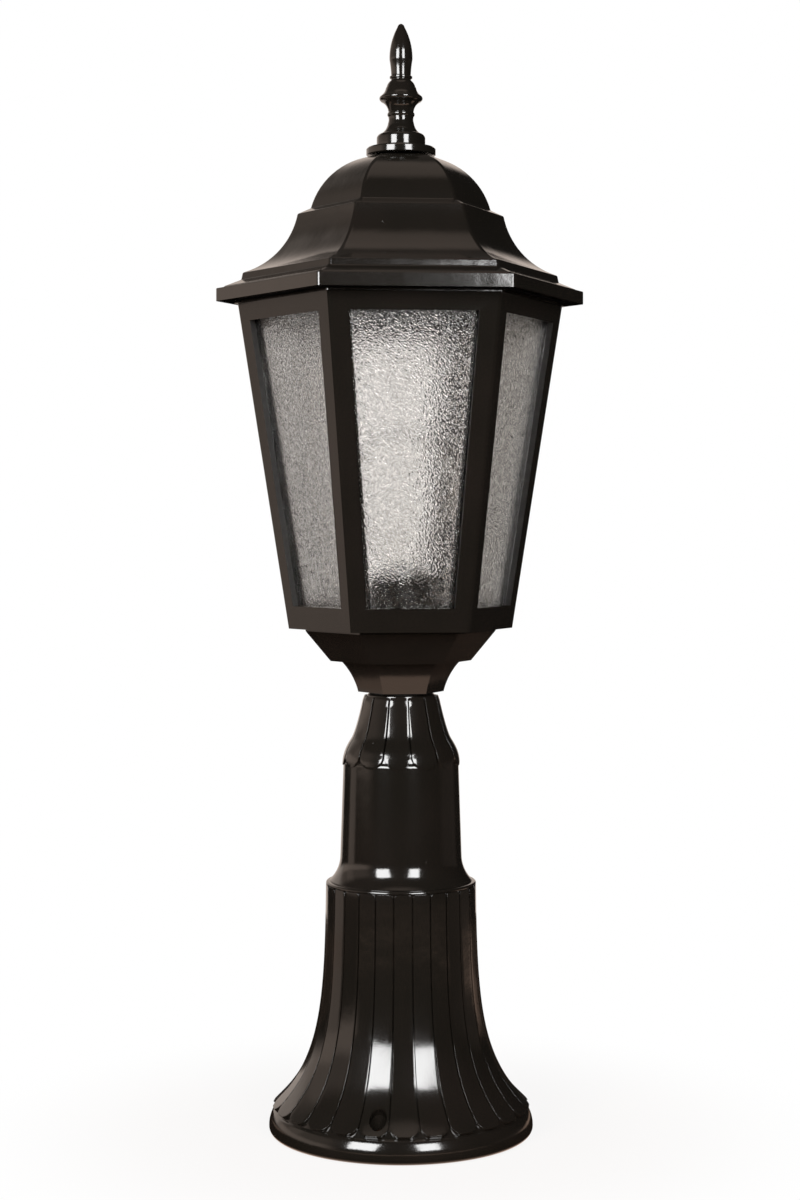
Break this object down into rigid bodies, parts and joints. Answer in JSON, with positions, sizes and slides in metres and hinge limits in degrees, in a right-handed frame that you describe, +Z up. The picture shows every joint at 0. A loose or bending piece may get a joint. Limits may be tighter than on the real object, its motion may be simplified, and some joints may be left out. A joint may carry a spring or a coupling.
{
  "type": "pedestal lantern",
  "caption": "Hexagonal pedestal lantern with hammered glass panes, domed lift-off roof with screw-on finial, and a fluted bell pedestal.",
  "frame": {"origin": "centre of the pedestal's flat underside, on the surface it stands on", "axes": "+Z up along the lantern's axis, front window faces -Y, two corners of the hexagon lie on the X axis"},
  "size_m": [0.2, 0.1732, 0.6],
  "materials": {
    "enamel": "gloss",
    "hammered_glass": "textured",
    "clear_glass": "gloss",
    "zinc_steel": "satin",
    "brass": "satin",
    "lamp_cap_metal": "satin",
    "bakelite": "satin",
    "porcelain": "gloss",
    "block_plastic": "matte",
    "rubber_black": "matte",
    "lead_brown": "satin",
    "lead_blue": "satin",
    "lead_green": "satin"
  },
  "bodies": {
    "stand": {"bell": "enamel", "column": "enamel", "column_screws": "zinc_steel", "neck_gasket": "rubber_black", "nipple": "zinc_steel", "nipple_washer": "zinc_steel", "nipple_nut_lower": "zinc_steel", "nipple_nut_upper": "zinc_steel", "cup": "enamel", "cage": "enamel", "cage_screws": "zinc_steel", "pane_front": "hammered_glass", "pane_front_right": "hammered_glass", "pane_back_right": "hammered_glass", "pane_back": "hammered_glass", "pane_back_left": "hammered_glass", "pane_front_left": "hammered_glass", "lampholder_cap": "bakelite", "lampholder_insert": "porcelain", "lampholder_shell": "brass", "lampholder_skirt": "bakelite", "holder_terminals": "brass", "centre_contact": "brass", "terminal_block": "block_plastic", "terminal_screws": "zinc_steel", "block_screw": "zinc_steel", "earth_screw": "brass", "live_lead": "lead_brown", "neutral_lead": "lead_blue", "earth_lead": "lead_green", "roof_bridge": "zinc_steel", "bridge_screws": "zinc_steel", "finial_rod": "zinc_steel", "rod_nuts": "zinc_steel"},
    "roof": {"roof": "enamel", "roof_gasket": "rubber_black"},
    "finial": {"finial": "enamel", "finial_seal": "rubber_black"},
    "lamp": {"lamp_contact": "bakelite", "lamp_cap": "lamp_cap_metal", "lamp_glass": "clear_glass", "lamp_mount": "clear_glass"}
  },
  "joints": [
    {"name": "roof_lift", "type": "slide", "parent": "stand", "child": "roof", "axis": [0, 0, 1], "range_m": [0, 0.13]},
    {"name": "finial_turn", "type": "hinge", "parent": "roof", "child": "finial", "pos_m": [0, 0, 0.55], "axis": [0, 0, 1], "continuous": true},
    {"name": "lamp_turn", "type": "hinge", "parent": "stand", "child": "lamp", "pos_m": [0, 0, 0.3], "axis": [0, 0, 1], "continuous": true}
  ]
}
